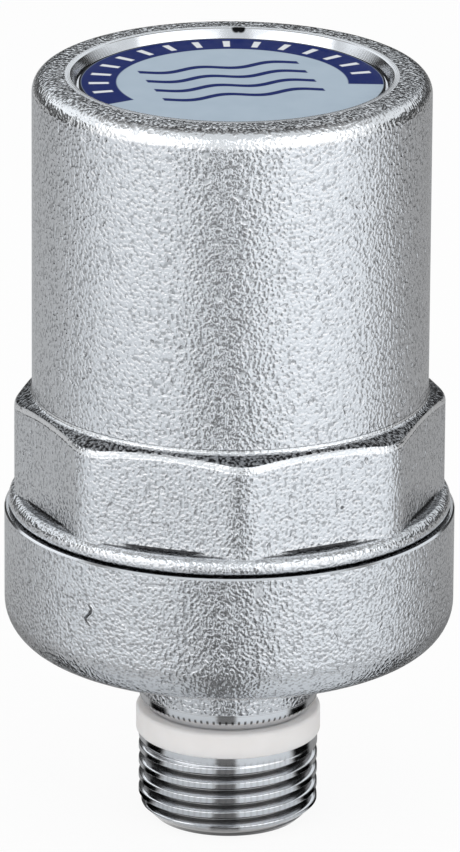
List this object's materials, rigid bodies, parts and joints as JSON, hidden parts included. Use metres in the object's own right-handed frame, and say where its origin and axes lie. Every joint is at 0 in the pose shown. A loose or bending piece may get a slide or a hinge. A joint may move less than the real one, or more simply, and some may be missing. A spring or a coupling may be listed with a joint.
{
  "type": "water hammer arrestor",
  "caption": "Upright plated water hammer arrestor: barrel cover with wrench flats on a cup with a male pipe thread and white seal ring, and a sprung piston inside that damps pressure surges.",
  "frame": {"origin": "on the axis, at the end face of the inlet thread", "axes": "+Z along the axis from the thread towards the cover's top; two of the eight wrench flats face +X and +Y"},
  "size_m": [0.0524, 0.0524, 0.0904],
  "materials": {
    "plated_cover": "rough satin chrome plating over blasted forged brass",
    "plated_body": "rough satin chrome plating, bright on the machined rim and thread",
    "seal_ring": "smooth waxy white",
    "label": "satin printed film",
    "rubber_seal": "greased black rubber",
    "piston_plastic": "turned and moulded natural plastic",
    "spring_wire": "drawn stainless wire with ground ends"
  },
  "bodies": {
    "housing": {"cover": "plated_cover", "inlet_body": "plated_body", "thread_seal_ring": "seal_ring", "label_disc": "label", "cover_seal_ring": "rubber_seal", "return_spring": "spring_wire"},
    "piston": {"piston": "piston_plastic", "piston_seal_lower": "rubber_seal", "piston_seal_upper": "rubber_seal"}
  },
  "joints": [
    {"name": "piston_slide", "type": "slide", "parent": "housing", "child": "piston", "axis": [0, 0, 1], "range_m": [0, 0.026], "stiffness_N_per_m": 4700, "springref_m": -0.015, "deforming": ["return_spring"]}
  ]
}
